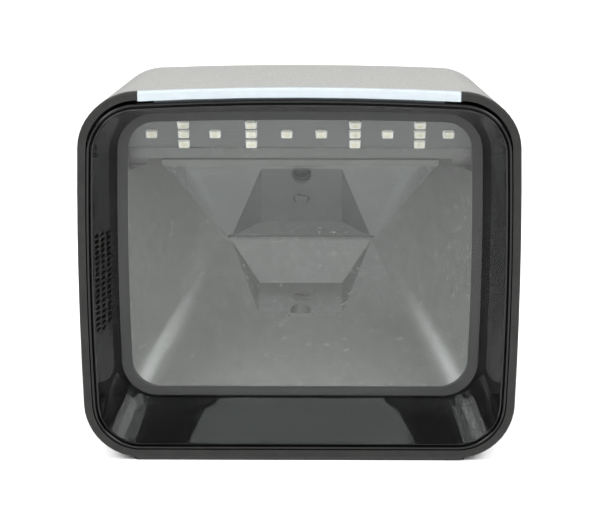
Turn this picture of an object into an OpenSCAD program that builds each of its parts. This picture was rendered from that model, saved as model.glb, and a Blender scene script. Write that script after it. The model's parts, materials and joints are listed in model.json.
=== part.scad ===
// Counter-top presentation scanner: a deep glossy funnel in front of a tall
// window, a fold mirror and an upward-looking camera behind it.
// The front faces -Y, +Z is up, and the origin is on the counter under the middle.

/* [Body] */
// Width across the front rim
body_w = 136; // [134:0.5:138]
// Height of the top of the front rim above the counter
body_top = 118.7; // [118:0.1:119.5]
// Depth from the front rim to the rear wall
body_d = 80; // [80:0.5:82]
// Radius of the front rim's corners
corner_r = 17; // [16:0.5:19]
// How much narrower each side is at the rear
side_taper = 6.2; // [6:0.1:8]
// How far the roof falls from front to rear
top_drop = 7.6; // [7:0.2:8]
// Wall thickness of the moulded shells
wall = 2.2; // [2:0.1:2.3]
// Width of the matt rim band round the front
rim_band = 2.6; // [2.4:0.1:2.8]

/* [Window] */
// Half the width of the clear part of the window
clear_hw = 54.3; // [53:0.1:54.5]
// Lowest point of the clear part of the window
clear_z0 = 16.1; // [15.8:0.1:17]
// Highest point of the clear part of the window
clear_z1 = 103.4; // [102:0.1:103.6]
// Thickness of the window glass
glass_t = 1.8; // [1.5:0.1:1.8]

/* [Optics] */
// Lean of the fold mirror from the vertical
mirror_lean = 40; // [39:0.5:41]
// Thickness of the fold mirror
mirror_t = 3; // [2:0.5:3]
// Backward tilt of the camera from the vertical
camera_tilt = 10; // [9:0.5:11]

/* [Fixings] */
// Spacing of the stand inserts across the body
insert_dx = 56; // [52:1:58]
// Spacing of the stand inserts from front to rear
insert_dy = 30; // [28:1:32]
// Radius of the tapped hole in each stand insert
insert_hole_r = 1.65; // [1.65, 2.1]
// Inward travel of the tone button
button_travel = 0.5; // [0.3:0.1:0.5]

/* [Hidden] */

$fn = 48;
eps = 0.01;

front_y = -body_d / 2;
rear_y = body_d / 2;
base_z = 1;             // underside of the housing, above the counter
rim_hw = body_w / 2;
side_bow = 1.35;        // the sides bulge by this much at mid height
top_crown = 2.2;        // the roof is this much higher in the middle
arc_n = 12;             // steps in one rounded corner
side_n = 6;             // steps along one side
rear_wall_y = rear_y - 2.4;

cover_front_y = front_y + 2.8;
cover_z = 97;           // parting line of the silver cover
light_hw = 48.8;        // half the length of the light bar
seam = 0.15;            // gap left between neighbouring shells

// Funnel stations: the mouth, the end of the long wall, and the window lip
mouth_hw = rim_hw - rim_band - 0.5;
mouth_z0 = base_z + rim_band + 0.5;
mouth_z1 = body_top - rim_band - 1.2;
mouth_r = corner_r - rim_band;
throat_y = front_y + 19;
lip_y = front_y + 25;
lip_side = clear_hw + 3.2;
lip_z0 = clear_z0 - 2.6;
lip_z1 = clear_z1 + 2.9;
throat_side = lip_side + 1.6;
throat_z0 = lip_z0 - 1.7;
throat_z1 = lip_z1 + 1.7;
bezel_t = 1.8;

glass_y = lip_y;
gasket_y = glass_y + glass_t;
flange_y = lip_y + 2.6;
flange_t = 2;
chamber_y = flange_y + flange_t;

// The fold mirror hinges the view about this line
fold_y = 31;
fold_z = 53.7;
fold_hw = 23.8;
mirror_h = 43;
mirror_top_hw = 45;

// Floor of the chamber, square to the mirror
function floor_z(y) = fold_z - (fold_y - y) * tan(mirror_lean);

well_y = 8;             // front edge of the camera well
well_hw = 13.75;
// Floor of the camera well from its front edge to its rear wall, in y and z
well_floor = [[well_y, 34.3], [20.7, 38.3], [20.7, 38.6], [26.4, 39.6]];
lens_y = 9.4;
lens_z = 30.5;
lens_r = 3.3;
aimer_y = 7.8;          // aiming lamp, behind the lens in the camera's frame

bay_y = -2.2;           // rear of the bay that holds the light board
led_y = -10.9;          // top front edge of the light board
led_z = 103.1;
led_lean = 30;
led_board_h = 12;
led_x = [-46.8, -36.7, -26.8, -15.4, -4.2, 6.7, 17.3, 27.6, 37.7, 46.7];
led_triple = [1, 3, 6, 8];
led_rows = [1.9, 5.8, 10];

board_y = 33.2;         // front face of the main board
board_t = 1.6;
board_hw = 44;
board_z0 = 58;
board_z1 = 94;
button_z = 76;
button_r = 4;

io_z = 9;               // underside of the interface board
socket_hw = 8;

plate_hw = 38;
plate_y0 = -24.8;
plate_y1 = 33.8;
plate_screw_x = plate_hw - 2;
plate_screw_y = [plate_y0 + 2, plate_y1 - 2];
io_post_x = 25;
io_post_y = [20.5, 27];
foot_y = [-36.9, 37];
foot_hd = 2.2;          // half the depth of a foot
foot_h = 1.9;
foot_r = 2;
function foot_x(y) = rim_hw - side_taper * (y - front_y) / body_d - corner_r + 1;

vent_rows = 18;
vent_pitch = 1.75;
vent_top_z = 71.3;
vent_x = [-62.4, -61.1, -59.8];
vent_r = 0.62;

rear_post_x = 49;
rear_post_z = [21, 90];
bezel_screw_at = [[-46, 7.2], [0, 7.2], [46, 7.2], [-30, 110.4], [0, 110.4], [30, 110.4]];

// ---------- shared shapes ----------

// Rounded rectangle centred on the origin, counter-clockwise
function rounded_rect(hw, hh, r) = [
    for (q = [0:3])
        let (sx = (q == 0 || q == 3) ? 1 : -1, sz = q < 2 ? 1 : -1,
             c = [sx * (hw - r), sz * (hh - r)],
             last = c + r * [cos(90 * q + 90), sin(90 * q + 90)],
             nx = (q == 0 || q == 1) ? -1 : 1, nz = (q == 0 || q == 3) ? 1 : -1,
             next = [nx * (hw - r), nz * (hh - r)] + r * [cos(90 * q + 90), sin(90 * q + 90)])
        each concat(
            [for (i = [0:arc_n]) c + r * [cos(90 * q + 90 * i / arc_n), sin(90 * q + 90 * i / arc_n)]],
            [for (j = [1:side_n - 1]) last + (next - last) * j / side_n])];

// The same outline stood up at depth y, with bowed sides and a crowned top
function ring(y, hw, z0, z1, r, bow = 0, crown = 0) =
    let (zc = (z0 + z1) / 2, hh = (z1 - z0) / 2)
    [for (p = rounded_rect(hw, hh, r))
        let (u = p[0] / hw, v = p[1] / hh)
        [p[0] - bow * u * pow(v - 0.09, 2), y, zc + p[1] - crown * u * u * max(v, 0)]];

// Solid skinned over a row of rings, from front to rear
module loft(rings) {
    n = len(rings[0]);
    m = len(rings);
    polyhedron(
        points = [for (one = rings) each one],
        faces = concat(
            [[for (j = [n - 1:-1:0]) j]],
            [[for (j = [0:n - 1]) (m - 1) * n + j]],
            [for (i = [0:m - 2]) for (j = [0:n - 1])
                let (a = i * n + j, b = i * n + (j + 1) % n, c = b + n, d = a + n)
                each [[a, b, c], [a, c, d]]]));
}

// Outline of the body at depth y, moved in by t
function body_ring(y, t) =
    let (s = (y - front_y) / body_d)
    ring(y, rim_hw - side_taper * s - t, base_z + t, body_top - top_drop * s - t,
         max(2, corner_r - 2 * s - t), side_bow, top_crown * (1 - 0.3 * s));

module body_solid() {
    edge = 0.8;
    back = 4;
    loft(concat(
        [for (a = [90:-30:0]) body_ring(front_y + edge * (1 - sin(a)), edge * (1 - cos(a)))],
        [for (y = [front_y + 20, 0, 20]) body_ring(y, 0)],
        [for (a = [0:18:90]) body_ring(rear_y - back * (1 - sin(a)), back * (1 - cos(a)))]));
}

// The inside of the body, moved in by t at the front and t_rear at the rear
module body_core(t, t_rear, y0 = front_y - 1, y1 = rear_wall_y) {
    loft([for (k = [0:0.25:1]) body_ring(y0 + (y1 - y0) * k, t + (t_rear - t) * k)]);
}

module cover_zone(gap) {
    translate([-100, cover_front_y + gap, cover_z + gap]) cube([200, 100, 60]);
}

module box(x0, x1, y0, y1, z0, z1) {
    translate([x0, y0, z0]) cube([x1 - x0, y1 - y0, z1 - z0]);
}

// Bar along X with the profile given as [y, z] points
module bar(hw, profile, x = 0) {
    translate([x - hw, 0, 0]) rotate([90, 0, 90]) linear_extrude(2 * hw) polygon(profile);
}

// Plate in the XZ plane from y0 to y0 + t
module plate(y0, t, outline) {
    translate([0, y0 + t, 0]) rotate([90, 0, 0]) linear_extrude(t) polygon(outline);
}

function moved(outline, dx, dz) = [for (p = outline) p + [dx, dz]];

module rod_y(x, y0, y1, z, r) {
    translate([x, y0, z]) rotate([-90, 0, 0]) cylinder(r = r, h = y1 - y0);
}

// Screw with its shank along +Z and its head below z = 0
module screw(r, length, head_r, head_h) {
    difference() {
        union() {
            cylinder(r = r, h = length);
            translate([0, 0, -head_h]) cylinder(r = head_r, h = head_h);
        }
        translate([0, 0, -head_h - eps]) cylinder(r = head_r * 0.45, h = head_h * 0.6, $fn = 6);
    }
}

// ---------- casing ----------

// Two long pads let into the underside, grown sideways by g
module feet(g) {
    for (y = foot_y) translate([0, y, 0]) linear_extrude(foot_h)
        polygon(rounded_rect(foot_x(y) + g, foot_hd + g, foot_r));
}

module rear_housing() color([0.07, 0.07, 0.075]) difference() {
    union() {
        difference() {
            body_solid();
            body_core(rim_band, wall);
        }
        intersection() {
            body_core(rim_band - eps, wall - eps);
            union() {
                box(-44, 44, -26, rear_wall_y + 1, 0, 5);
                for (x = [-1, 1]) for (y = plate_screw_y)
                    translate([x * plate_screw_x, y, 4]) cylinder(r = 3.2, h = 4);
                for (x = [-1, 1]) for (z = [board_z0 + 4, board_z1 - 4])
                    rod_y(x * 38, board_y + board_t, rear_wall_y + 1, z, 3);
            }
        }
    }
    cover_zone(0);
    box(-light_hw - seam, light_hw + seam, front_y - 1, cover_front_y + 1, 110, 125);
    box(-plate_hw - 0.2, plate_hw + 0.2, plate_y0 - 0.2, plate_y1 + 0.2, 0, 3.1);
    box(-plate_hw + 4, plate_hw - 4, plate_y0 + 4, plate_y1 - 4, 0, 6);
    for (x = [-1, 1]) {
        for (y = plate_screw_y) translate([x * plate_screw_x, y, 2]) cylinder(r = 1.2, h = 5.5);
        for (z = rear_post_z) {
            rod_y(x * rear_post_x, rear_wall_y - 1, rear_y + 1, z, 1.6);
            rod_y(x * rear_post_x, rear_y - 1.2, rear_y + 1, z, 3.1);
        }
        for (z = [board_z0 + 4, board_z1 - 4]) rod_y(x * 38, board_y, rear_y - 3, z, 0.9);
    }
    feet(0.1);
    box(-socket_hw - 0.2, socket_hw + 0.2, rear_wall_y - 1, rear_y + 1, 10.4, 24.2);
    rod_y(0, rear_wall_y - 1, rear_y + 1, button_z, button_r + 0.08);
}

module top_cover() color([0.78, 0.78, 0.76]) intersection() {
    difference() {
        body_solid();
        body_core(rim_band, wall);
    }
    cover_zone(seam);
}

// ---------- front bezel and light bar ----------

function mouth_ring(y, t) =
    ring(y, mouth_hw - t, mouth_z0 + t, mouth_z1 - t, mouth_r - t, side_bow, top_crown * 0.95);

// Outside of the funnel, grown by g
module funnel_outside(g = 0) {
    back = throat_side + bezel_t + 0.4;
    loft(concat(
        [for (a = [90:-30:0]) mouth_ring(front_y + 0.9 * (1 - sin(a)), 0.9 * (1 - cos(a)) - g)],
        [mouth_ring(front_y + 3.5, -g)],
        [ring(throat_y, back + g, throat_z0 - bezel_t - g, throat_z1 + bezel_t + g, 13.5, 1, 1.3),
         ring(flange_y, back + g, throat_z0 - bezel_t - g, throat_z1 + bezel_t + g, 13.5, 1, 1.3)]));
}

module funnel_inside() {
    loft([
        mouth_ring(front_y - eps, 0.9),
        mouth_ring(front_y + 0.25, 1.45),
        mouth_ring(front_y + 0.9, 1.8),
        ring(throat_y, throat_side, throat_z0, throat_z1, 12.2, 1, 1.3),
        ring(throat_y + 3, lip_side + 0.5, lip_z0 - 0.6, lip_z1 + 0.6, 11.5, 1, 1.2),
        ring(lip_y + eps, lip_side, lip_z0, lip_z1, 11, 0.9, 1.1)]);
}

module front_bezel() color([0.02, 0.02, 0.022]) difference() {
    union() {
        funnel_outside();
        for (p = bezel_screw_at) {
            rod_y(p[0], flange_y - 9, flange_y, p[1], 2.2);
            box(p[0] - 2.2, p[0] + 2.2, flange_y - 9, flange_y,
                p[1] - (p[1] > 60 ? 4 : 0), p[1] + (p[1] > 60 ? 0 : 4));
        }
    }
    funnel_inside();
    loft([ring(lip_y, lip_side + 2, lip_z0 - 2, lip_z1 + 2, 12.5, 0.9, 1.1),
          ring(flange_y + 1, lip_side + 2, lip_z0 - 2, lip_z1 + 2, 12.5, 0.9, 1.1)]);
    for (p = bezel_screw_at) rod_y(p[0], flange_y - 7.5, flange_y + 1, p[1], 0.8);
    for (x = vent_x) for (i = [0:vent_rows - 1])
        rod_y(x, front_y, throat_y + 5, vent_top_z - i * vent_pitch, vent_r);
}

module vent_mesh() color([0.12, 0.12, 0.12]) intersection() {
    difference() {
        funnel_outside(0.5);
        funnel_outside(0.1);
    }
    box(-70, -50, front_y + 8, throat_y + 3, vent_top_z - 33, vent_top_z + 3);
}

module status_light_bar() color([0.9, 0.94, 1]) {
    intersection() {
        difference() {
            body_solid();
            body_core(rim_band + 0.3, rim_band + 0.3);
        }
        box(-light_hw, light_hw, front_y, cover_front_y - 0.1, 100, 130);
    }
    intersection() {
        difference() {
            body_core(rim_band, wall + 0.15);
            body_core(rim_band + 0.85, wall + 1);
        }
        box(-44, 44, cover_front_y - 0.2, front_y + 14, 100, 130);
    }
}

module status_led_board() color([0.05, 0.25, 0.12]) intersection() {
    difference() {
        body_core(rim_band + 1.2, wall + 1.35);
        body_core(rim_band + 1.8, wall + 1.95);
    }
    box(-46, 46, front_y + 11, front_y + 18, 100, 130);
}

module status_leds() color([0.95, 0.95, 0.85]) intersection() {
    difference() {
        body_core(rim_band + 0.2, wall + 0.35);
        body_core(rim_band + 1.2, wall + 1.35);
    }
    for (x = [-40:10:40]) box(x - 1.5, x + 1.5, front_y + 14.2, front_y + 15.4, 100, 130);
}

// ---------- window and optical chamber ----------

module scan_window() color([0.75, 0.85, 0.82, 0.4])
    loft([for (y = [glass_y, gasket_y])
        ring(y, lip_side + 1.8, lip_z0 - 1.8, lip_z1 + 1.8, 12.3, 0.9, 1.1)]);

module clear_opening(y0, y1, grow = 0) {
    loft([for (y = [y0, y1])
        ring(y, clear_hw + grow, clear_z0 - grow, clear_z1 + grow, 8 + grow, 0.9, 1)]);
}

module window_gasket() color([0.03, 0.03, 0.03]) difference() {
    loft([for (y = [gasket_y, flange_y])
        ring(y, lip_side + 1.8, lip_z0 - 1.8, lip_z1 + 1.8, 12.3, 0.9, 1.1)]);
    clear_opening(gasket_y - 1, flange_y + 1);
}

// Local frame of the mirror: +Z up its face, +Y into the glass
module mirror_frame() {
    translate([0, fold_y, fold_z]) rotate([mirror_lean, 0, 0]) children();
}

// Space that the scanned view passes through
module view_space() {
    hull() {
        clear_opening(flange_y - 0.2, flange_y, 0);
        mirror_frame() {
            box(-fold_hw, fold_hw, 0, 0.5, 0, 0.1);
            box(-mirror_top_hw, mirror_top_hw, 0, 0.5, mirror_h - 0.1, mirror_h);
        }
    }
}

// Hollow in the floor that runs down to the camera
module camera_well(g) {
    hull() {
        translate([0, fold_y - 0.6, floor_z(fold_y - 0.6)])
            box(-fold_hw - g + 0.5, fold_hw + g - 0.5, -0.3, g * 0.5, -0.2, 1.5);
        for (p = well_floor)
            box(-well_hw - g, well_hw + g, p[0] - 0.05, p[0] + 0.05, p[1] - g, p[1] + 1);
    }
}

module scan_chamber() color([0.16, 0.165, 0.16]) difference() {
    union() {
        clear_opening(flange_y, chamber_y, 5);
        for (p = bezel_screw_at)
            box(p[0] - 2.4, p[0] + 2.4, flange_y, chamber_y,
                p[1] - (p[1] > 60 ? 6 : 2), p[1] + (p[1] > 60 ? 2 : 6));
        hull() {
            clear_opening(flange_y + 0.5, chamber_y + 1, 2.2);
            mirror_frame() {
                box(-fold_hw - 2.2, fold_hw + 2.2, 0, 0.2, -2.2, 0);
                box(-mirror_top_hw - 2.2, mirror_top_hw + 2.2, 0, 0.2, mirror_h, mirror_h + 2.2);
            }
        }
        plate(flange_y, bay_y - flange_y + 2, moved(rounded_rect(57, 10.8, 6), 0, 95.8));
        camera_well(2);
        box(-13, 13, well_y - 5, 24, 27.2, 36);
        for (x = [-1, 1]) for (z = rear_post_z) rod_y(x * rear_post_x, chamber_y - 1, rear_wall_y, z, 3.2);
    }
    view_space();
    plate(flange_y - 1, bay_y - flange_y + 1, moved(rounded_rect(55.2, 9, 3), 0, 95.9));
    box(-33, -21, -3, 1, 102.2, 104.9);
    camera_well(0);
    intersection() {
        camera_frame() cylinder(r = lens_r + 0.1, h = 9);
        box(-9, 9, well_y, 30, 20, 50);
    }
    camera_frame() {
        translate([0, 0, -9]) cylinder(r = lens_r + 0.2, h = 9.9);
        translate([0, aimer_y, -9]) cylinder(r = 1.7, h = 22);
        box(-20, 20, -10, 30, -20, -2.9);
    }
    for (p = bezel_screw_at) rod_y(p[0], flange_y - 1, chamber_y + 1, p[1], 1.05);
    for (x = [-1, 1]) for (z = rear_post_z) rod_y(x * rear_post_x, rear_wall_y - 9, rear_wall_y + 1, z, 1.2);
    mirror_frame() box(-80, 80, 0, 60, -12, 60);
}

module fold_mirror() color([0.8, 0.84, 0.88]) mirror_frame()
    plate(0, mirror_t, [[-fold_hw - 1.6, -1.4], [fold_hw + 1.6, -1.4],
                        [mirror_top_hw + 1.8, mirror_h + 1], [-mirror_top_hw - 1.8, mirror_h + 1]]);

// Sprung steel clips that hold the mirror's edges against the chamber
module mirror_clips() color([0.7, 0.7, 0.7]) mirror_frame() {
    for (x = [-30, 0, 30]) {
        box(x - 4, x + 4, mirror_t, mirror_t + 0.5, mirror_h - 6, mirror_h + 3.6);
        box(x - 4, x + 4, 0.2, mirror_t, mirror_h + 3.1, mirror_h + 3.6);
    }
    box(-6, 6, mirror_t, mirror_t + 0.5, -2.6, 6);
    box(-6, 6, 0.2, mirror_t, -2.6, -2.1);
}

// ---------- lighting ----------

// Local frame of the light board: +Z up its face, -Y towards the counter
module led_frame() {
    translate([0, led_y, led_z]) rotate([led_lean, 0, 0]) children();
}

module illumination_bracket() color([0.1, 0.1, 0.1]) difference() {
    union() {
        bar(54, [[-4.9, 92.5], [-4.9, 89.1], [-2.4, 89.1], [-2.4, 94.2],
                 [-8.3, 104.5], [-9.3, 103.9], [-3.4, 93.6]]);
        bar(43.7, [[-5.8, 88.9], [-5.8, 87], [-2.4, 87], [-2.4, 89.3], [-4.9, 89.3]]);
    }
    box(-33, -21, -12, 0, 101, 106);
}

module illumination_board() color([0.2, 0.21, 0.2]) led_frame()
    box(-54, 54, 0, 1.5, -led_board_h, 0);

// One light package: a tapered body on two solder ears
module led_package() {
    bar(1.7, [[0, -1.4], [0, 1.3], [-1.1, 1.1], [-1.1, -1.3]]);
    for (x = [-1, 1]) box(x * 1.6 - 0.4, x * 1.6 + 0.4, -0.5, 0, -1.1, 1.1);
}

module illumination_leds() color([0.93, 0.93, 0.86]) led_frame() {
    for (i = [0:len(led_x) - 1]) translate([led_x[i], 0, -led_rows[1]]) led_package();
    for (i = led_triple) for (row = [0, 2]) translate([led_x[i], 0, -led_rows[row]]) led_package();
}

// ---------- camera ----------

module camera_frame() {
    translate([0, lens_y, lens_z]) rotate([-camera_tilt, 0, 0]) children();
}

module camera_bracket() color([0.09, 0.09, 0.09]) camera_frame() difference() {
    union() {
        box(-12.8, 12.8, -4, 11.5, -4.2, -3);
        for (x = [-1, 1]) box(x * 10.2 - 2.6, x * 10.2 + 2.6, -4, 11.5, -8, -4);
    }
    translate([0, 0, -5]) cylinder(r = lens_r + 0.1, h = 6);
    translate([0, aimer_y, -5]) cylinder(r = 1.6, h = 6);
}

module camera_housing() color([0.05, 0.05, 0.05]) camera_frame() difference() {
    box(-7.5, 7.5, -3.9, 9.4, -12, -4.3);
    translate([0, 0, -9]) cylinder(r = lens_r, h = 10);
    box(-5.5, 5.5, -3.3, 5, -12.5, -9);
    translate([0, aimer_y, -6]) cylinder(r = 1.6, h = 6);
}

module lens_barrel() color([0.03, 0.03, 0.03]) camera_frame() difference() {
    translate([0, 0, -9]) cylinder(r = lens_r, h = 9.6);
    translate([0, 0, -10]) cylinder(r = 1.9, h = 12);
    translate([0, 0, -0.8]) cylinder(r1 = 1.9, r2 = 2.7, h = 1.5);
}

module front_lens() color([0.5, 0.6, 0.7, 0.5]) camera_frame() intersection() {
    translate([0, 0, -3]) cylinder(r = 1.9, h = 3);
    translate([0, 0, -5.4]) sphere(r = 5.2);
}

module image_sensor_board() color([0.05, 0.25, 0.12]) camera_frame()
    box(-11, 11, -6, 10, -13.6, -12);

module image_sensor() color([0.15, 0.15, 0.2]) camera_frame() box(-4, 4, -3.1, 3.1, -12, -10.8);

module aimer_led() color([0.9, 0.85, 0.8]) camera_frame() translate([0, aimer_y, 0]) {
    translate([0, 0, -6]) cylinder(r = 1.5, h = 10);
    translate([0, 0, 4]) sphere(r = 1.5);
}

// ---------- electronics ----------

module main_board() color([0.05, 0.28, 0.14]) difference() {
    box(-board_hw, board_hw, board_y, board_y + board_t, board_z0, board_z1);
    for (x = [-1, 1]) for (z = [board_z0 + 4, board_z1 - 4]) rod_y(x * 38, board_y - 1, board_y + 3, z, 1.15);
}

module processor_chip() color([0.08, 0.08, 0.08]) box(-7, 7, board_y - 1.4, board_y, 76, 90);

module board_components() color([0.1, 0.1, 0.12]) {
    for (i = [0:1]) box(11 + i * 11, 19 + i * 11, board_y - 1, board_y, 78, 90);
    for (i = [0:5]) box(-34 + i * 4, -32 + i * 4, board_y - 0.9, board_y, 66, 67.4);
    for (i = [0:3]) rod_y(-30 + i * 6, board_y - 2.4, board_y, 73, 1.9);
    box(14, 21, board_y - 3, board_y, 64, 71);
}

module board_connectors() color([0.85, 0.83, 0.75]) {
    box(-33, -21, board_y - 2, board_y, 88, 91.4);
    box(9, 21, board_y + board_t, board_y + board_t + 1.6, 59.5, 62.5);
    box(-21, -9, board_y + board_t, board_y + board_t + 1.6, 59.5, 62.5);
}

// Flat ribbon along [y, z] points, given a thickness by shifting a copy
module ribbon(x0, x1, points, shift) {
    n = len(points);
    bar((x1 - x0) / 2, concat(points, [for (i = [n - 1:-1:0]) points[i] + shift]), (x0 + x1) / 2);
}

module camera_flex() color([0.75, 0.5, 0.15])
    ribbon(10, 20, [[16.7, 17.4], [22.5, 20.5], [32, 33], [36, 40], [36.6, 48], [36.6, 61.6]], [0.25, -0.15]);

module led_flex() color([0.75, 0.5, 0.15])
    ribbon(-32, -22, [[-9.2, 103.9], [-3, 104.2], [14, 103.6], [27, 98], [32.6, 93.6], [32.9, 91.6]],
           [0.1, 0.3]);

module board_link() color([0.7, 0.7, 0.7])
    ribbon(-20, -10, [[30, 10.8], [34.4, 12], [36.4, 18], [36.6, 48], [36.6, 61.6]], [0.3, -0.2]);

module interface_board() color([0.05, 0.28, 0.14]) difference() {
    box(-30, 30, 9, 36.6, io_z, io_z + board_t);
    for (x = [-1, 1]) for (y = io_post_y) translate([x * io_post_x, y, io_z - 1]) cylinder(r = 1.15, h = 4);
}

module interface_socket() color([0.03, 0.03, 0.03]) difference() {
    box(-socket_hw, socket_hw, 22.5, rear_y - 0.6, io_z + board_t, 24);
    box(-6, 6, 25.5, rear_y, 12.4, 20.4);
    box(-3.2, 3.2, 25.5, rear_y, 20, 22.4);
}

module socket_contacts() color([0.9, 0.75, 0.35])
    for (i = [0:9]) box(-4.7 + i * 1.02, -4.3 + i * 1.02, 25.5, 35, 12.4, 12.8);

// ---------- speaker ----------

speaker_x = -53.2;
speaker_y = 6;
speaker_z = 57;

module speaker_outline(y0, t, hw, hh, r) {
    plate(y0, t, moved(rounded_rect(hw, hh, r), speaker_x, speaker_z));
}

module speaker_frame() color([0.1, 0.1, 0.1]) difference() {
    speaker_outline(speaker_y, 5, 6.9, 15, 5);
    speaker_outline(speaker_y - 1, 4.4, 5.7, 13.8, 4.2);
}

module speaker_cone() color([0.2, 0.2, 0.2]) {
    speaker_outline(speaker_y + 1, 0.4, 5.6, 13.7, 4.1);
    speaker_outline(speaker_y + 0.5, 0.6, 3.4, 10, 3.2);
}

module speaker_magnet() color([0.5, 0.5, 0.52]) speaker_outline(speaker_y + 5, 4, 4.8, 9, 2);

// ---------- tone button ----------

module tone_button() color([0.05, 0.05, 0.05]) difference() {
    union() {
        rod_y(0, rear_wall_y - 0.6, rear_y - 0.1, button_z, button_r);
        rod_y(0, rear_wall_y - 0.6, rear_wall_y - 0.1, button_z, button_r + 1);
    }
    translate([0, rear_y + 17.5, button_z]) sphere(r = 18, $fn = 96);
}

module switch_body() color([0.7, 0.7, 0.7]) difference() {
    box(-3, 3, board_y + board_t, rear_wall_y - 1.4, button_z - 3, button_z + 3);
    rod_y(0, rear_wall_y - 1.8 - button_travel, rear_wall_y, button_z, 1.46);
}

module switch_plunger() color([0.1, 0.1, 0.1])
    rod_y(0, rear_wall_y - 1.7, rear_wall_y - 0.6, button_z, 1.4);

// ---------- base ----------

module base_plate() color([0.09, 0.09, 0.09]) difference() {
    union() {
        translate([0, (plate_y0 + plate_y1) / 2, base_z]) linear_extrude(2)
            polygon(rounded_rect(plate_hw, (plate_y1 - plate_y0) / 2, 3));
        for (x = [-1, 1]) for (y = [-1, 1])
            translate([x * insert_dx / 2, y * insert_dy / 2, base_z]) cylinder(r = 4.6, h = 6.5);
        for (x = [-1, 1]) for (y = io_post_y)
            translate([x * io_post_x, y, base_z]) cylinder(r = 2.2, h = io_z - base_z);
    }
    for (x = [-1, 1]) for (y = [-1, 1])
        translate([x * insert_dx / 2, y * insert_dy / 2, 0]) cylinder(r = 2.8, h = base_z + 5.2);
    for (x = [-1, 1]) for (y = plate_screw_y) translate([x * plate_screw_x, y, 0]) {
        cylinder(r = 1.3, h = 5);
        cylinder(r = 1.8, h = base_z + 1);
    }
    for (x = [-1, 1]) for (y = io_post_y)
        translate([x * io_post_x, y, base_z + 2]) cylinder(r = 0.9, h = 10);
}

module mount_inserts() color([0.85, 0.68, 0.3])
    for (x = [-1, 1]) for (y = [-1, 1]) translate([x * insert_dx / 2, y * insert_dy / 2, base_z + 0.2])
        difference() {
            cylinder(r = 2.8, h = 5);
            translate([0, 0, -1]) cylinder(r = insert_hole_r, h = 7);
        }

module rubber_feet() color([0.06, 0.06, 0.06]) feet(0);

// ---------- fasteners ----------

module rear_screws() color([0.4, 0.4, 0.42])
    for (x = [-1, 1]) for (z = rear_post_z)
        translate([x * rear_post_x, rear_y - 1.2, z]) rotate([90, 0, 0]) screw(1.2, 9, 2.8, 0.9);

module bezel_screws() color([0.6, 0.6, 0.62])
    for (p = bezel_screw_at)
        translate([p[0], chamber_y, p[1]]) rotate([90, 0, 0]) screw(0.8, 8, 1.7, 1.1);

module board_screws() color([0.6, 0.6, 0.62]) {
    for (x = [-1, 1]) for (z = [board_z0 + 4, board_z1 - 4])
        translate([x * 38, board_y, z]) rotate([-90, 0, 0]) screw(0.9, 3.6, 1.9, 1.1);
    for (x = [-1, 1]) for (y = io_post_y)
        translate([x * io_post_x, y, io_z + board_t]) rotate([180, 0, 0]) screw(0.9, 5.5, 1.9, 1.1);
}

module base_screws() color([0.6, 0.6, 0.62])
    for (x = [-1, 1]) for (y = plate_screw_y)
        translate([x * plate_screw_x, y, base_z + 1]) screw(1.2, 5, 1.7, 0.9);

rear_housing();
top_cover();
front_bezel();
vent_mesh();
status_light_bar();
status_led_board();
status_leds();
scan_window();
window_gasket();
scan_chamber();
fold_mirror();
mirror_clips();
illumination_bracket();
illumination_board();
illumination_leds();
camera_bracket();
camera_housing();
lens_barrel();
front_lens();
image_sensor_board();
image_sensor();
aimer_led();
main_board();
processor_chip();
board_components();
board_connectors();
camera_flex();
led_flex();
board_link();
interface_board();
interface_socket();
socket_contacts();
speaker_frame();
speaker_cone();
speaker_magnet();
tone_button();
switch_body();
switch_plunger();
base_plate();
mount_inserts();
rubber_feet();
rear_screws();
bezel_screws();
board_screws();
base_screws();
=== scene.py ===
"""Looks of the counter-top presentation scanner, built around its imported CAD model.

Lengths are metres.  MM turns the millimetres of the design into metres.
"""

import json
import math

import bmesh
import bpy
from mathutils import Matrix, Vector


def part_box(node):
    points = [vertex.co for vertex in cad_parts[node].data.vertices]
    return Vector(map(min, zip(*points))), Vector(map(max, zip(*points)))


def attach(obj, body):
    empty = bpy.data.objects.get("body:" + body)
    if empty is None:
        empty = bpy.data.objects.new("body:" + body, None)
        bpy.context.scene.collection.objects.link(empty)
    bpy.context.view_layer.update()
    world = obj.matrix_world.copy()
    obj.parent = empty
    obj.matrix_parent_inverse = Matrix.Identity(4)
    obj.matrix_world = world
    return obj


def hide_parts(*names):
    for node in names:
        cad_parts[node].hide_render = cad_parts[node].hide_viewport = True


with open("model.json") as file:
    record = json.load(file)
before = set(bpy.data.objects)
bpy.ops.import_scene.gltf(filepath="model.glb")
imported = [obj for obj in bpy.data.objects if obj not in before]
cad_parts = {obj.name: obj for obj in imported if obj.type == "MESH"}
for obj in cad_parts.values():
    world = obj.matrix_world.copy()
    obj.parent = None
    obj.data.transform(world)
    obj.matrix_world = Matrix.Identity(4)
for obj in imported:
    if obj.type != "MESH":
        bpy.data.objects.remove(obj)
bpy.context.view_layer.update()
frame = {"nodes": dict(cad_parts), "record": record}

MM = 0.001
SCANNER = "scanner"


# ---------------------------------------------------------------- camera

RIM_FRONT_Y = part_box("rear_housing")[0].y
AIM = Vector((0.25 * MM, RIM_FRONT_Y, 64.8 * MM))
CAMERA_DISTANCE = 0.793
CAMERA_ELEVATION = math.radians(15)
CAMERA_TURN = math.radians(0.5)          # stands a little to the right of the middle
LENS_MM = 155.3


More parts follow.
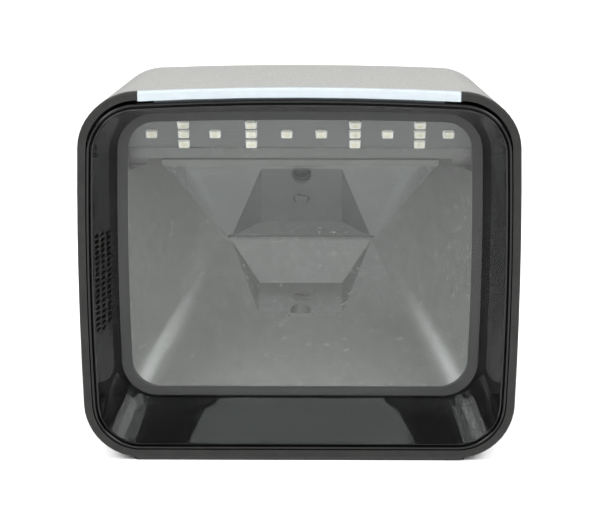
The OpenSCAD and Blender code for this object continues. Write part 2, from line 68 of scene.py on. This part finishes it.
def make_camera():
    data = bpy.data.cameras.new("camera")
    data.lens = LENS_MM
    data.sensor_width = 36
    data.clip_start = 0.05
    camera = bpy.data.objects.new("camera", data)
    level = math.cos(CAMERA_ELEVATION)
    back = Vector((level * math.sin(CAMERA_TURN), -level * math.cos(CAMERA_TURN), math.sin(CAMERA_ELEVATION)))
    camera.location = AIM + back * CAMERA_DISTANCE
    camera.rotation_euler = (math.pi / 2 - CAMERA_ELEVATION, 0, CAMERA_TURN)
    bpy.context.scene.collection.objects.link(camera)
    bpy.context.scene.camera = camera


make_camera()


# ---------------------------------------------------------------- materials

class Nodes:
    """A short way to lay out a material's nodes around one Principled shader."""

    def __init__(self, name, **sockets):
        self.material = bpy.data.materials.new(name)
        self.material.use_nodes = True
        self.tree = self.material.node_tree
        self.shader = self.tree.nodes["Principled BSDF"]
        self.out = self.tree.nodes["Material Output"]
        for socket, value in sockets.items():
            self.shader.inputs[socket.replace("_", " ")].default_value = value
        self.coords = self.tree.nodes.new("ShaderNodeTexCoord").outputs["Object"]

    def add(self, kind, **settings):
        node = self.tree.nodes.new("ShaderNode" + kind)
        for key, value in settings.items():
            setattr(node, key, value)
        return node

    def link(self, a, b):
        self.tree.links.new(a, b)

    def noise(self, scale, detail=3.0, roughness=0.6):
        node = self.add("TexNoise")
        node.inputs["Scale"].default_value = scale
        node.inputs["Detail"].default_value = detail
        node.inputs["Roughness"].default_value = roughness
        self.link(self.coords, node.inputs["Vector"])
        return node.outputs["Fac"]

    def cells(self, scale):
        node = self.add("TexVoronoi")
        node.inputs["Scale"].default_value = scale
        self.link(self.coords, node.inputs["Vector"])
        return node

    def ramp(self, fac, stops):
        node = self.add("ValToRGB")
        ramp = node.color_ramp
        while len(ramp.elements) < len(stops):
            ramp.elements.new(0.5)
        for element, (place, colour) in zip(ramp.elements, stops):
            element.position = place
            element.color = colour if len(colour) == 4 else (*colour, 1)
        self.link(fac, node.inputs["Fac"])
        return node.outputs["Color"]

    def span(self, fac, low, high):
        node = self.add("MapRange")
        node.inputs["To Min"].default_value = low
        node.inputs["To Max"].default_value = high
        self.link(fac, node.inputs["Value"])
        return node.outputs["Result"]

    def colour(self, socket):
        self.link(socket, self.shader.inputs["Base Color"])

    def roughness(self, socket):
        self.link(socket, self.shader.inputs["Roughness"])

    def bump(self, height, strength, distance):
        node = self.add("Bump")
        node.inputs["Strength"].default_value = strength
        node.inputs["Distance"].default_value = distance
        self.link(height, node.inputs["Height"])
        self.link(node.outputs["Normal"], self.shader.inputs["Normal"])


def grey(value):
    return (value, value, value)


def textured_plastic(name, dark, light, rough=(0.4, 0.5), grain=2600, depth=0.03 * MM,
                     strength=0.5, shine=0.5):
    """Moulded plastic with a fine spark-eroded grain."""
    n = Nodes(name, Specular_IOR_Level=shine)
    n.colour(n.ramp(n.noise(220, 4), [(0.35, dark), (0.65, light)]))
    n.roughness(n.span(n.noise(500, 3), *rough))
    n.bump(n.noise(grain, 2, 0.7), strength, depth)
    return n.material


def rim_black():
    return textured_plastic("rim_black", (0.007, 0.007, 0.0066), (0.012, 0.012, 0.0112),
                            rough=(0.42, 0.56), grain=2300, depth=0.06 * MM, strength=0.6, shine=0.28)


def gloss_black():
    n = Nodes("gloss_black", Specular_IOR_Level=0.30)
    n.colour(n.ramp(n.noise(90, 3), [(0.3, grey(0.002)), (0.7, grey(0.0035))]))
    n.roughness(n.span(n.noise(60, 5), 0.035, 0.06))
    n.bump(n.noise(14, 2), 0.05, 0.02 * MM)
    return n.material


def silver_cover():
    n = Nodes("silver_cover", Metallic=0.35)
    flakes = n.cells(3800)
    n.colour(n.ramp(flakes.outputs["Color"], [(0.15, (0.20, 0.20, 0.191)), (0.85, (0.39, 0.39, 0.376))]))
    n.roughness(n.span(n.noise(900, 2), 0.40, 0.52))
    n.bump(flakes.outputs["Distance"], 0.22, 0.02 * MM)
    return n.material


def light_diffuser():
    n = Nodes("light_diffuser", Subsurface_Weight=0.25, Subsurface_Scale=1.5 * MM, Emission_Strength=0.10)
    n.shader.inputs["Subsurface Radius"].default_value = (1, 1, 1)
    n.shader.inputs["Emission Color"].default_value = (0.78, 0.88, 1.0, 1)
    n.colour(n.ramp(n.noise(300, 3), [(0.3, (0.30, 0.335, 0.352)), (0.7, (0.33, 0.367, 0.385))]))
    n.roughness(n.span(n.noise(400, 2), 0.32, 0.42))
    return n.material


def window_glass():
    n = Nodes("window_glass", Transmission_Weight=1.0, IOR=1.34)
    n.shader.inputs["Base Color"].default_value = (0.945, 0.962, 0.955, 1)
    n.roughness(n.span(n.noise(30, 4), 0.0, 0.012))
    clear = n.add("BsdfTransparent")
    clear.inputs["Color"].default_value = (0.9, 0.918, 0.912, 1)
    path = n.add("LightPath")
    mix = n.add("MixShader")
    n.link(path.outputs["Is Shadow Ray"], mix.inputs[0])
    n.link(n.shader.outputs[0], mix.inputs[1])
    n.link(clear.outputs[0], mix.inputs[2])
    n.link(mix.outputs[0], n.out.inputs["Surface"])
    return n.material


def chamber_texture():
    n = Nodes("chamber_texture")
    n.colour(n.ramp(n.noise(260, 4), [(0.35, (0.0745, 0.0745, 0.0715)), (0.65, (0.0885, 0.0885, 0.0850))]))
    n.roughness(n.span(n.noise(700, 3), 0.21, 0.31))
    n.bump(n.noise(1500, 3, 0.8), 0.85, 0.10 * MM)
    return n.material


def mirror_silver():
    n = Nodes("mirror_silver", Metallic=1.0)
    n.colour(n.ramp(n.noise(40, 3), [(0.3, (0.80, 0.83, 0.83)), (0.7, (0.84, 0.87, 0.87))]))
    n.roughness(n.span(n.noise(50, 4), 0.0, 0.012))
    return n.material


def soft_rubber(name, tone):
    n = Nodes(name)
    n.colour(n.ramp(n.noise(300, 5), [(0.3, grey(tone * 0.8)), (0.7, grey(tone * 1.3))]))
    n.roughness(n.span(n.noise(600, 3), 0.62, 0.8))
    n.bump(n.noise(1800, 3), 0.5, 0.04 * MM)
    return n.material


def metal(name, dark, light, rough=(0.25, 0.4)):
    n = Nodes(name, Metallic=1.0)
    n.colour(n.ramp(n.noise(350, 4), [(0.3, dark), (0.7, light)]))
    n.roughness(n.span(n.noise(900, 3), *rough))
    n.bump(n.noise(1500, 2), 0.15, 0.01 * MM)
    return n.material


def circuit_board(name, base, track):
    n = Nodes(name)
    lines = n.add("TexBrick", offset=0.35, squash=1.7)
    lines.inputs["Scale"].default_value = 260
    lines.inputs["Mortar Size"].default_value = 0.035
    lines.inputs["Color1"].default_value = (*base, 1)
    lines.inputs["Color2"].default_value = (*[c * 1.15 for c in base], 1)
    lines.inputs["Mortar"].default_value = (*track, 1)
    n.link(n.coords, lines.inputs["Vector"])
    n.colour(lines.outputs["Color"])
    n.roughness(n.span(n.noise(400, 3), 0.3, 0.42))
    n.bump(lines.outputs["Fac"], 0.2, 0.02 * MM)
    return n.material


def plain_plastic(name, dark, light, rough=(0.3, 0.45)):
    n = Nodes(name)
    n.colour(n.ramp(n.noise(500, 4), [(0.3, dark), (0.7, light)]))
    n.roughness(n.span(n.noise(700, 3), *rough))
    n.bump(n.noise(1800, 2), 0.2, 0.02 * MM)
    return n.material


def lens_glass():
    n = Nodes("lens_glass", Coat_Weight=1.0, Coat_Roughness=0.01)
    # Dark lens glass whose grey is lifted to a lighter tone: painted haze and reflection over the lens, on
    # top of its own dark colour.
    n.colour(n.ramp(n.noise(120, 2), [(0.3, (0.055, 0.060, 0.062)), (0.7, (0.075, 0.072, 0.080))]))
    n.roughness(n.span(n.noise(80, 3), 0.02, 0.06))
    return n.material


MATERIALS = {
    "rim_black": rim_black(),
    "silver_cover": silver_cover(),
    "gloss_black": gloss_black(),
    "light_diffuser": light_diffuser(),
    "window_glass": window_glass(),
    "gasket_black": plain_plastic("gasket_black", grey(0.004), grey(0.007), (0.5, 0.6)),
    "chamber_texture": chamber_texture(),
    "mirror": mirror_silver(),
    "spring_steel": metal("spring_steel", grey(0.45), grey(0.58)),
    "inner_black": textured_plastic("inner_black", grey(0.028), grey(0.04), rough=(0.4, 0.55)),
    "board_green": circuit_board("board_green", (0.015, 0.11, 0.05), (0.03, 0.2, 0.09)),
    "board_dark": circuit_board("board_dark", (0.10, 0.104, 0.10), (0.12, 0.124, 0.118)),
    "led_white": plain_plastic("led_white", (0.82, 0.81, 0.72), (0.92, 0.91, 0.84), (0.25, 0.4)),
    "led_face": plain_plastic("led_face", (0.72, 0.68, 0.52), (0.86, 0.82, 0.68), (0.08, 0.2)),
    "led_tin": metal("led_tin", grey(0.78), grey(0.92), (0.18, 0.32)),
    "chip_black": plain_plastic("chip_black", grey(0.02), grey(0.032), (0.4, 0.6)),
    "connector_white": plain_plastic("connector_white", (0.70, 0.67, 0.58), (0.78, 0.75, 0.66)),
    "flex_amber": plain_plastic("flex_amber", (0.40, 0.18, 0.03), (0.50, 0.25, 0.05), (0.2, 0.35)),
    "contact_gold": metal("contact_gold", (0.72, 0.5, 0.2), (0.85, 0.64, 0.28)),
    "lens_glass": lens_glass(),
    "aimer_clear": plain_plastic("aimer_clear", (0.62, 0.55, 0.50), (0.78, 0.70, 0.66), (0.08, 0.15)),
    "magnet_steel": metal("magnet_steel", grey(0.28), grey(0.36)),
    "brass": metal("brass", (0.70, 0.50, 0.20), (0.82, 0.62, 0.28)),
    "foot_rubber": soft_rubber("foot_rubber", 0.02),
    "screw_steel": metal("screw_steel", grey(0.22), grey(0.32), (0.3, 0.45)),
}


def dress(obj, material):
    obj.data.materials.clear()
    obj.data.materials.append(material)
    return obj


def smooth_all(obj):
    for polygon in obj.data.polygons:
        polygon.use_smooth = True


def smooth_cad(obj, angle=28):
    """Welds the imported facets, keeps the true edges sharp and evens out the normals."""
    smooth_all(obj)
    weld = obj.modifiers.new("weld", "WELD")
    weld.merge_threshold = 0.004 * MM
    split = obj.modifiers.new("edges", "EDGE_SPLIT")
    split.split_angle = math.radians(angle)
    even = obj.modifiers.new("normals", "WEIGHTED_NORMAL")
    even.keep_sharp = True


SLOT_OF = {row["node"]: row["material_slot"] for row in frame["record"]["subparts"]}
for node_name, node in frame["nodes"].items():
    dress(node, MATERIALS[SLOT_OF[node_name]])
    smooth_cad(node)


# ---------------------------------------------------------------- mesh helpers

def object_of(name, mesh):
    """Turns a finished bmesh into an object of the scene, and frees it."""
    data = bpy.data.meshes.new(name)
    mesh.to_mesh(data)
    mesh.free()
    obj = bpy.data.objects.new(name, data)
    bpy.context.scene.collection.objects.link(obj)
    return obj


def new_piece(name, verts, faces, material):
    mesh = bpy.data.meshes.new(name)
    mesh.from_pydata([tuple(v) for v in verts], [], faces)
    mesh.validate()
    obj = bpy.data.objects.new(name, mesh)
    bpy.context.scene.collection.objects.link(obj)
    dress(obj, material)
    smooth_all(obj)
    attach(obj, SCANNER)
    return obj


def modify(obj, kind, **settings):
    modifier = obj.modifiers.new(kind.lower(), kind)
    for key, value in settings.items():
        setattr(modifier, key, value)
    return modifier


def apply_modifiers(obj):
    bpy.context.view_layer.update()
    graph = bpy.context.evaluated_depsgraph_get()
    mesh = bpy.data.meshes.new_from_object(obj.evaluated_get(graph))
    obj.modifiers.clear()
    obj.data = mesh


def face_outward(obj):
    mesh = bmesh.new()
    mesh.from_mesh(obj.data)
    bmesh.ops.recalc_face_normals(mesh, faces=mesh.faces)
    mesh.to_mesh(obj.data)
    mesh.free()


ARC_STEPS = 20
SIDE_STEPS = 14
BOW_MIDDLE = 0.09        # height of a side's widest point, as a share of half the height


def rounded_outline(hw, hh, r):
    """Points of a rounded rectangle about the origin, counter-clockwise, in x and z."""
    corners = [(1, 1), (-1, 1), (-1, -1), (1, -1)]
    points = []
    for q, (sx, sz) in enumerate(corners):
        centre = Vector((sx * (hw - r), sz * (hh - r)))
        arc = []
        for i in range(ARC_STEPS + 1):
            a = math.radians(90 * q + 90 * i / ARC_STEPS)
            arc.append(centre + r * Vector((math.cos(a), math.sin(a))))
        nx, nz = corners[(q + 1) % 4]
        a = math.radians(90 * q + 90)
        start = Vector((nx * (hw - r), nz * (hh - r))) + r * Vector((math.cos(a), math.sin(a)))
        points += arc
        points += [arc[-1].lerp(start, j / SIDE_STEPS) for j in range(1, SIDE_STEPS)]
    return points


def ring(y, hw, z0, z1, r, bow=0.0, crown=0.0):
    """One outline at depth y, in millimetres, with bowed sides and a crowned top."""
    middle, hh = (z0 + z1) / 2, (z1 - z0) / 2
    points = []
    for p in rounded_outline(hw, hh, r):
        u, v = p.x / hw, p.y / hh
        bowed_x = p.x - bow * u * (v - BOW_MIDDLE) ** 2
        points.append(MM * Vector((bowed_x, y, middle + p.y - crown * u * u * max(v, 0))))
    return points


def skin(rings, closed=False):
    """Vertices and quads over a row of rings; closed joins the last ring to the first."""
    n = len(rings[0])
    verts = [p for one in rings for p in one]
    faces = []
    for i in range(len(rings) if closed else len(rings) - 1):
        k = (i + 1) % len(rings)
        for j in range(n):
            m = (j + 1) % n
            faces.append((i * n + j, i * n + m, k * n + m, k * n + j))
    return verts, faces


# ---------------------------------------------------------------- driving sizes, from the frame

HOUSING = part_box("rear_housing")
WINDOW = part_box("scan_window")
RIM_HW = HOUSING[1].x / MM + 0.1        # half width across the rim
RIM_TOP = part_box("status_light_bar")[1].z / MM + 0.05
RIM_FRONT = HOUSING[0].y / MM
BASE_Z = HOUSING[0].z / MM
RIM_BAND = 2.6
CORNER_R = 17
SIDE_BOW = 1.35
TOP_CROWN = 2.2

GLASS_Y = WINDOW[0].y / MM
GLASS_COVERED = 1.8                     # how much of the glass the lip hides all round
LIP_SIDE = WINDOW[1].x / MM - GLASS_COVERED
LIP_Z0 = WINDOW[0].z / MM + GLASS_COVERED
LIP_Z1 = WINDOW[1].z / MM - GLASS_COVERED
THROAT_Y = RIM_FRONT + 19
THROAT_SIDE = LIP_SIDE + 1.6
THROAT_Z0 = LIP_Z0 - 1.7
THROAT_Z1 = LIP_Z1 + 1.7

MOUTH_GAP = 0.24
MOUTH_HW = RIM_HW - RIM_BAND - MOUTH_GAP
MOUTH_Z0 = BASE_Z + RIM_BAND + MOUTH_GAP
MOUTH_Z1 = RIM_TOP - RIM_BAND - 1.2
MOUTH_R = CORNER_R - RIM_BAND


# ---------------------------------------------------------------- gloss funnel

def mouth_ring(y, t):
    return ring(y, MOUTH_HW - t, MOUTH_Z0 + t, MOUTH_Z1 - t, MOUTH_R - t, SIDE_BOW, TOP_CROWN * 0.95)


def between(a, b, k):
    return [p.lerp(q, k) for p, q in zip(a, b)]


CREST_R = 0.42
SHOULDER_R = 0.35
SHOULDER_BACK = 0.35     # the shoulder starts this far behind the rim's front
GROOVE_AT = 2 * CREST_R + 0.3
SHOULDER_AT = GROOVE_AT + 0.16
WALL_STEPS = 14
BEND_STEPS = 8
LIP_STEPS = 4


def funnel_rings():
    """A closed loop: outer edge, crest, long wall, lip, the face against the glass, and the back."""
    rings = [mouth_ring(RIM_FRONT + 3.5, 0)]
    for a in range(0, 181, 20):
        angle = math.radians(a)
        rings.append(mouth_ring(RIM_FRONT + CREST_R * (1 - math.sin(angle)), CREST_R * (1 - math.cos(angle))))
    rings.append(mouth_ring(RIM_FRONT + CREST_R + 0.1, 2 * CREST_R + 0.04))
    rings.append(mouth_ring(RIM_FRONT + CREST_R + 0.55, GROOVE_AT))
    rings.append(mouth_ring(RIM_FRONT + CREST_R + 0.5, GROOVE_AT + 0.12))
    for a in (0, 30, 60, 90):
        angle = math.radians(a)
        t = SHOULDER_AT + SHOULDER_R * (1 - math.cos(angle))
        rings.append(mouth_ring(RIM_FRONT + SHOULDER_BACK + SHOULDER_R * (1 - math.sin(angle)), t))
    mouth = mouth_ring(RIM_FRONT + 0.5, SHOULDER_AT + SHOULDER_R + 0.22)
    throat = ring(THROAT_Y, THROAT_SIDE, THROAT_Z0, THROAT_Z1, 12.2, 1, 1.3)
    lip = ring(GLASS_Y, LIP_SIDE, LIP_Z0, LIP_Z1, 11, 0.9, 1.1)
    wall_end, lip_start = between(mouth, throat, 0.94), between(throat, lip, 0.2)
    rings += [between(mouth, wall_end, k / WALL_STEPS) for k in range(WALL_STEPS + 1)]
    for k in range(1, BEND_STEPS):
        s = k / BEND_STEPS
        rings.append(between(between(wall_end, throat, s), between(throat, lip_start, s), s))
    rings += [between(lip_start, lip, k / LIP_STEPS) for k in range(LIP_STEPS + 1)]
    back = THROAT_SIDE + 2.2
    for y in (GLASS_Y, THROAT_Y):
        rings.append(ring(y, back, THROAT_Z0 - 1.8, THROAT_Z1 + 1.8, 13.5, 1, 1.3))
    return rings


VENT_X = (-62.4, -61.1, -59.8)          # from the rim inwards
VENT_ROWS = 18
VENT_PITCH = 1.75
VENT_TOP_Z = 71.3
VENT_DROP = 0.8                         # each deeper column of vents sits this much lower
VENT_R = 0.56


def vent_cutter():
    mesh = bmesh.new()
    y0, y1 = RIM_FRONT - 1, GLASS_Y - 1
    for column, x in enumerate(VENT_X):
        for row in range(VENT_ROWS):
            z = VENT_TOP_Z - column * VENT_DROP - row * VENT_PITCH
            made = bmesh.ops.create_cone(mesh, cap_ends=True, segments=20, radius1=VENT_R * MM,
                                         radius2=VENT_R * MM, depth=(y1 - y0) * MM)["verts"]
            for v in made:
                v.co = Vector((v.co.x + x * MM, v.co.z + (y0 + y1) / 2 * MM, v.co.y + z * MM))
    bmesh.ops.recalc_face_normals(mesh, faces=mesh.faces)
    return object_of("vent_cutter", mesh)


def make_funnel():
    verts, faces = skin(funnel_rings(), closed=True)
    funnel = new_piece("bezel_funnel", verts, faces, MATERIALS["gloss_black"])
    face_outward(funnel)
    cutter = vent_cutter()
    modify(funnel, "BOOLEAN", operation="DIFFERENCE", object=cutter, solver="EXACT")
    apply_modifiers(funnel)
    bpy.data.objects.remove(cutter)
    smooth_all(funnel)
    modify(funnel, "EDGE_SPLIT", split_angle=math.radians(32))
    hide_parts("front_bezel")


make_funnel()


# ---------------------------------------------------------------- optical chamber

CLEAR_BOX = (54.3, LIP_Z0 + 2.6, LIP_Z1 - 2.9)
FLANGE_Y = GLASS_Y + 2.6
FOLD = Vector((0, 31, 53.7))
FOLD_HW = 23.8
LEAN = math.radians(40)
UP_MIRROR = Vector((0, -math.sin(LEAN), math.cos(LEAN)))
MIRROR_H = 43
MIRROR_TOP_HW = 45
WELL_Y = 8
WELL_HW = 13.75
WELL_FLOOR = ((WELL_Y, 34.3), (20.7, 38.3), (20.7, 38.6), (26.4, 39.6))
LENS = Vector((0, 9.4, 30.5))
LENS_R = 3.3
AIMER_Y = 7.8
CAMERA_TILT = math.radians(10)


def floor_z(y):
    return FOLD.z - (FOLD.y - y) * math.tan(LEAN)


def hull_of(name, points):
    """Closed convex solid round points given in millimetres."""
    mesh = bmesh.new()
    for p in points:
        mesh.verts.new(MM * Vector(p))
    made = bmesh.ops.convex_hull(mesh, input=mesh.verts)
    bmesh.ops.delete(mesh, geom=[v for v in made["geom_interior"] if isinstance(v, bmesh.types.BMVert)],
                     context="VERTS")
    bmesh.ops.dissolve_limit(mesh, angle_limit=math.radians(0.2), verts=mesh.verts, edges=mesh.edges)
    bmesh.ops.recalc_face_normals(mesh, faces=mesh.faces)
    return object_of(name, mesh)


def corners(x, y, z, tilt=0.0, at=Vector((0, 0, 0))):
    """The eight corners of a block, given as (low, high) pairs, tipped back about the X axis."""
    points = []
    for i in x:
        for j in y:
            for k in z:
                turned_y = j * math.cos(tilt) + k * math.sin(tilt)
                turned_z = -j * math.sin(tilt) + k * math.cos(tilt)
                points.append(at + Vector((i, turned_y, turned_z)))
    return points


def well_points():
    """The hollow that runs from the foot of the mirror down to the camera."""
    back_y = FOLD.y - 0.4
    points = []
    for side in (-1, 1):
        for lift in (0, 1.2):
            points.append((side * (FOLD_HW - 0.5), back_y, floor_z(back_y) + lift))
        points.append((side * WELL_HW, WELL_Y, WELL_FLOOR[0][1] + 1))
        points += [(side * WELL_HW, y, z) for y, z in WELL_FLOOR]
    return points


def camera_bore(r, y, z0, z1, limit):
    """Points of a round hole along the camera's axis, cut off flat at the depth given by limit."""
    points = []
    for k in range(32):
        a = math.tau * k / 32
        for z in (z0, z1):
            p = corners((r * math.cos(a),), (y + r * math.sin(a),), (z,), CAMERA_TILT, LENS)[0]
            points.append(Vector((p.x, max(p.y, limit), p.z)))
    return points


def make_chamber():
    hw, z0, z1 = CLEAR_BOX
    front = [p / MM for p in ring(FLANGE_Y - 0.2, hw, z0, z1, 9, 0.9, 1)]
    mirror = [FOLD + Vector((side * FOLD_HW, 0, 0)) for side in (-1, 1)]
    mirror += [FOLD + Vector((side * MIRROR_TOP_HW, 0, 0)) + UP_MIRROR * MIRROR_H for side in (-1, 1)]
    space = hull_of("chamber_skin", front + mirror)
    extras = [
        hull_of("bay", corners((-55, 55), (FLANGE_Y - 0.2, -2.4), (86.9, 104.7))),
        hull_of("well", well_points()),
        hull_of("lens_hole", camera_bore(LENS_R + 0.1, 0, 1.2, 6.5, WELL_Y + 0.5)),
        hull_of("aimer_hole", camera_bore(1.7, AIMER_Y, 2, 8, WELL_Y)),
    ]
    for extra in extras:
        modify(space, "BOOLEAN", operation="UNION", object=extra, solver="EXACT")
        apply_modifiers(space)
        bpy.data.objects.remove(extra)
    mesh = bmesh.new()
    mesh.from_mesh(space.data)
    normal = Vector((0, math.cos(LEAN), math.sin(LEAN)))
    open_faces = []
    for face in mesh.faces:
        centre = face.calc_center_median() / MM
        at_front = face.normal.y < -0.99 and centre.y < FLANGE_Y + 1
        at_mirror = face.normal.dot(normal) > 0.999 and abs((centre - FOLD).dot(normal)) < 0.3
        in_bore = face.normal.z < -0.97 and abs(centre.x) < LENS_R and centre.z < 35
        if at_front or at_mirror or in_bore:
            open_faces.append(face)
    bmesh.ops.delete(mesh, geom=open_faces, context="FACES")
    bmesh.ops.reverse_faces(mesh, faces=mesh.faces)
    mesh.to_mesh(space.data)
    mesh.free()
    dress(space, MATERIALS["chamber_texture"])
    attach(space, SCANNER)
    modify(space, "BEVEL", width=0.5 * MM, segments=4, limit_method="ANGLE", angle_limit=math.radians(20))
    apply_modifiers(space)
    smooth_all(space)
    modify(space, "SOLIDIFY", thickness=1.2 * MM, offset=-1)
    modify(space, "EDGE_SPLIT", split_angle=math.radians(40))
    modify(space, "WEIGHTED_NORMAL", keep_sharp=True)
    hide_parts("scan_chamber")


make_chamber()


# ---------------------------------------------------------------- light packages

LED_TOP = Vector((0, -10.9, 103.1))
LED_LEAN = math.radians(30)
LED_X = (-46.8, -36.7, -26.8, -15.4, -4.2, 6.7, 17.3, 27.6, 37.7, 46.7)
LED_TRIPLE = (1, 3, 6, 8)
LED_ROWS = (1.9, 5.8, 10)


def on_board(x, y, z):
    """A point of the light board's own frame, in metres."""
    cos, sin = math.cos(LED_LEAN), math.sin(LED_LEAN)
    return MM * (LED_TOP + Vector((x, y * cos - z * sin, y * sin + z * cos)))


def rectangle(hw, z0, z1, y, r, steps=5):
    """A rounded rectangle in the plane at depth y, centred on x = 0."""
    points = []
    for q, (sx, sz) in enumerate(((1, 1), (-1, 1), (-1, -1), (1, -1))):
        cx = sx * (hw - r)
        cz = (z1 - r) if sz > 0 else (z0 + r)
        for i in range(steps + 1):
            a = math.radians(90 * q + 90 * i / steps)
            points.append((cx + r * math.cos(a), y, cz + r * math.sin(a)))
    return points


def circle_like(count, r, y, z):
    """As many points as a rounded rectangle has, on a circle, starting at the same corner."""
    points = []
    for k in range(count):
        a = math.tau * (k + 0.5) / count
        points.append((r * math.cos(a), y, z + r * math.sin(a)))
    return points


def fan(rings):
    """Vertices and faces over a row of rings of plain tuples, with flat ends."""
    n = len(rings[0])
    verts = [p for one in rings for p in one]
    faces = [(i * n + j, i * n + (j + 1) % n, (i + 1) * n + (j + 1) % n, (i + 1) * n + j)
             for i in range(len(rings) - 1) for j in range(n)]
    faces.append(tuple(range(n)))
    faces.append(tuple(len(verts) - n + j for j in range(n)))
    return verts, faces


def package_body():
    rings = [rectangle(1.7, -1.4, 1.3, 0, 0.12), rectangle(1.7, -1.4, 1.3, -0.35, 0.12),
             rectangle(1.62, -1.32, 1.16, -1.02, 0.14), rectangle(1.55, -1.25, 1.09, -1.1, 0.14)]
    n = len(rings[0])
    rings += [circle_like(n, 1.08, -1.1, -0.08), circle_like(n, 1.02, -1.06, -0.08),
              circle_like(n, 0.86, -0.74, -0.08)]
    return fan(rings)


def package_lens():
    rings = []
    for k in range(7):
        a = math.radians(15 * k)
        rings.append(circle_like(24, 0.98 * math.cos(a) + 0.01, -0.9 - 0.1 * math.sin(a), -0.08))
    return fan([circle_like(24, 0.9, -0.76, -0.08)] + rings)


def package_lead(side):
    """A bent tin tab that leaves the end of the package and rises beside its top edge."""
    rings = []
    for x, z1, y in ((1.5, 0.9, -0.5), (1.78, 0.95, -0.56), (1.95, 1.05, -0.5), (2.0, 1.1, -0.02)):
        rings.append([(side * x, y, z1), (side * x, y, -z1), (side * (x - 0.12), 0, -z1),
                      (side * (x - 0.12), 0, z1)])
    return fan(rings)


def solder_ear(side):
    """Bright solder over the tab's upper corner."""
    rings = []
    for k in range(5):
        t = k / 4
        r = 0.42 * math.cos(t * math.pi / 2) + 0.02
        centre = (side * 1.72, 1.36)
        rings.append([(centre[0] + r * math.cos(a), -0.02 - 0.85 * math.sin(t * math.pi / 2),
                       centre[1] + 0.8 * r * math.sin(a)) for a in [math.tau * i / 12 for i in range(12)]])
    return fan(rings)


def make_packages():
    spots = [(x, -LED_ROWS[1]) for x in LED_X]
    spots += [(LED_X[i], -LED_ROWS[row]) for i in LED_TRIPLE for row in (0, 2)]
    kinds = {
        "led_bodies": ([package_body()], "led_white"),
        "led_faces": ([package_lens()], "led_face"),
        "led_tabs": ([package_lead(-1), package_lead(1), solder_ear(-1), solder_ear(1)], "led_tin"),
    }
    for name, (shapes, material) in kinds.items():
        verts, faces = [], []
        for x, z in spots:
            for shape_verts, shape_faces in shapes:
                start = len(verts)
                verts += [on_board(px + x, py, pz + z) for px, py, pz in shape_verts]
                faces += [tuple(i + start for i in face) for face in shape_faces]
        piece = new_piece(name, verts, faces, MATERIALS[material])
        face_outward(piece)
        modify(piece, "EDGE_SPLIT", split_angle=math.radians(35))
        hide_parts("illumination_leds")


make_packages()


# ---------------------------------------------------------------- stage and light

def floor_paint():
    n = Nodes("floor_paint")
    n.colour(n.ramp(n.noise(3, 2), [(0.3, grey(0.93)), (0.7, grey(0.95))]))
    n.roughness(n.span(n.noise(20, 2), 0.8, 0.9))
    return n.material


def make_floor():
    mesh = bmesh.new()
    bmesh.ops.create_grid(mesh, x_segments=4, y_segments=4, size=3)
    floor = object_of("floor", mesh)
    dress(floor, floor_paint())


make_floor()


def softbox(name, place, target, size, watts):
    data = bpy.data.lights.new(name, "AREA")
    data.shape = "RECTANGLE"
    data.size, data.size_y = size
    data.energy = watts
    lamp = bpy.data.objects.new(name, data)
    lamp.location = place
    lamp.rotation_euler = (Vector(target) - Vector(place)).to_track_quat("-Z", "Y").to_euler()
    bpy.context.scene.collection.objects.link(lamp)


def studio_world():
    """White to the eye, and a dim room to everything that it lights."""
    world = bpy.context.scene.world or bpy.data.worlds.new("world")
    bpy.context.scene.world = world
    world.use_nodes = True
    tree = world.node_tree
    room = tree.nodes["Background"]
    room.inputs["Color"].default_value = (1, 1, 1, 1)
    room.inputs["Strength"].default_value = 0.3
    seen = tree.nodes.new("ShaderNodeBackground")
    seen.inputs["Color"].default_value = (1, 1, 1, 1)
    seen.inputs["Strength"].default_value = 1.0
    path = tree.nodes.new("ShaderNodeLightPath")
    mix = tree.nodes.new("ShaderNodeMixShader")
    tree.links.new(path.outputs["Is Camera Ray"], mix.inputs[0])
    tree.links.new(room.outputs[0], mix.inputs[1])
    tree.links.new(seen.outputs[0], mix.inputs[2])
    tree.links.new(mix.outputs[0], tree.nodes["World Output"].inputs["Surface"])


def make_lights():
    bpy.context.scene.view_settings.view_transform = "Standard"
    studio_world()
    middle = (0, 0, 0.06)
    softbox("strip", (0, -0.57, 0.95), middle, (0.15, 0.75), 0.27)
    softbox("front", (0, -1.5, 0.75), middle, (1.3, 0.8), 9)
    softbox("behind", (0, 0.9, 0.8), middle, (1.2, 0.6), 5.4)
    for name, side in (("left", -1), ("right", 1)):
        softbox("overhead_" + name, (side * 0.6, -0.2, 0.95), middle, (0.5, 0.8), 4)
        softbox(name, (side * 0.68, -0.45, 0.66), middle, (0.45, 0.45), 9)


make_lights()
